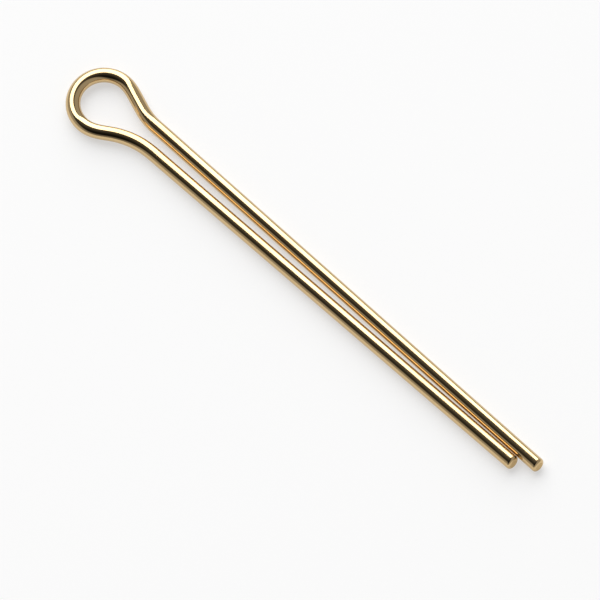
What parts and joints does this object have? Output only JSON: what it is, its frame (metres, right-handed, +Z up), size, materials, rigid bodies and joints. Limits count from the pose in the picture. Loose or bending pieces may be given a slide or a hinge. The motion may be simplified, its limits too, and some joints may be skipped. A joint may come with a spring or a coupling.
{
  "type": "cotter pin",
  "caption": "Brass wire cotter pin with an open eye and unequal round legs that close up towards their cut ends.",
  "frame": {"origin": "centre of the eye, on the surface that the pin lies on", "axes": "+X along the legs from the eye to the cut ends, +Y towards the long leg's side, +Z up, square to the plane that the wire is bent in"},
  "size_m": [0.0623, 0.0076, 0.0015],
  "materials": {
    "brass": "bright drawn wire, polished, with fine draw lines and flat cut ends"
  },
  "bodies": {
    "root": {"cotter_pin": "brass"}
  },
  "joints": []
}
